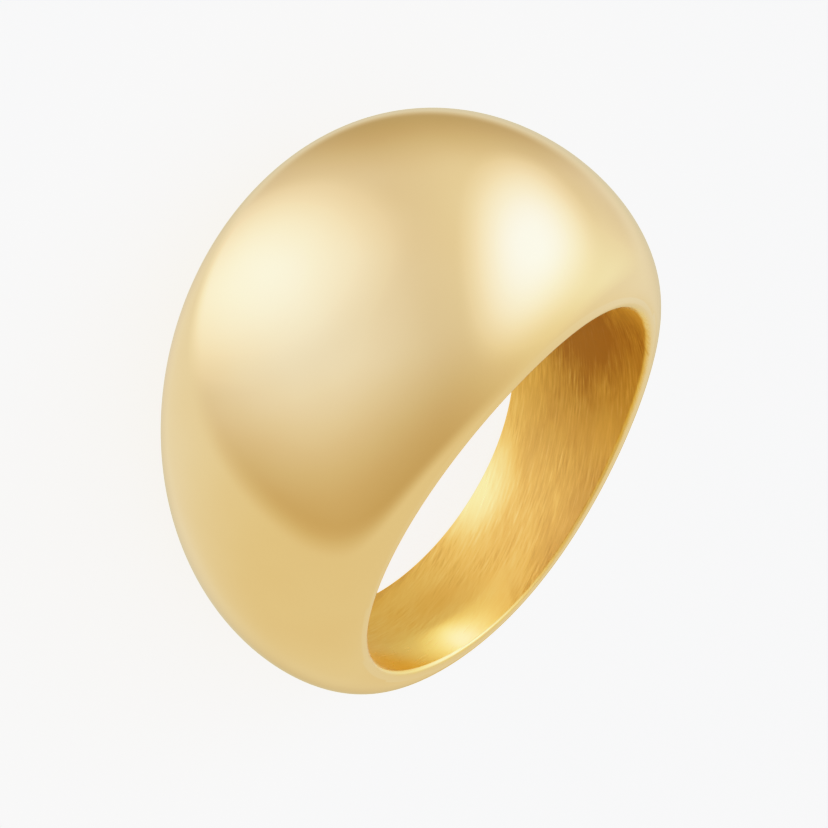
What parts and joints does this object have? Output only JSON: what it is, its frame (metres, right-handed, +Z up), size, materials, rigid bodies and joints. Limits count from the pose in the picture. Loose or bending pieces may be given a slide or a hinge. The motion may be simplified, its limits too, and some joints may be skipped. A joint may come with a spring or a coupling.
{
  "type": "dome ring",
  "caption": "Polished gold-coloured finger ring: a narrow band that swells into a wide, tall smooth dome, in one solid piece with a round finger bore, lying on its side.",
  "frame": {"origin": "on the surface that the ring lies on, under the middle of its box", "axes": "+Z up. The ring lies on its side: the dome faces -Y and leans up by about 14 degrees, the band is at +Y, and the finger bore's axis lies in the YZ plane, leaning from +Z towards +Y by the same angle"},
  "size_m": [0.023, 0.0252, 0.0138],
  "materials": {
    "gold": "gold plated, polished outside and satin inside the finger bore"
  },
  "bodies": {
    "root": {"ring": "gold"}
  },
  "joints": []
}
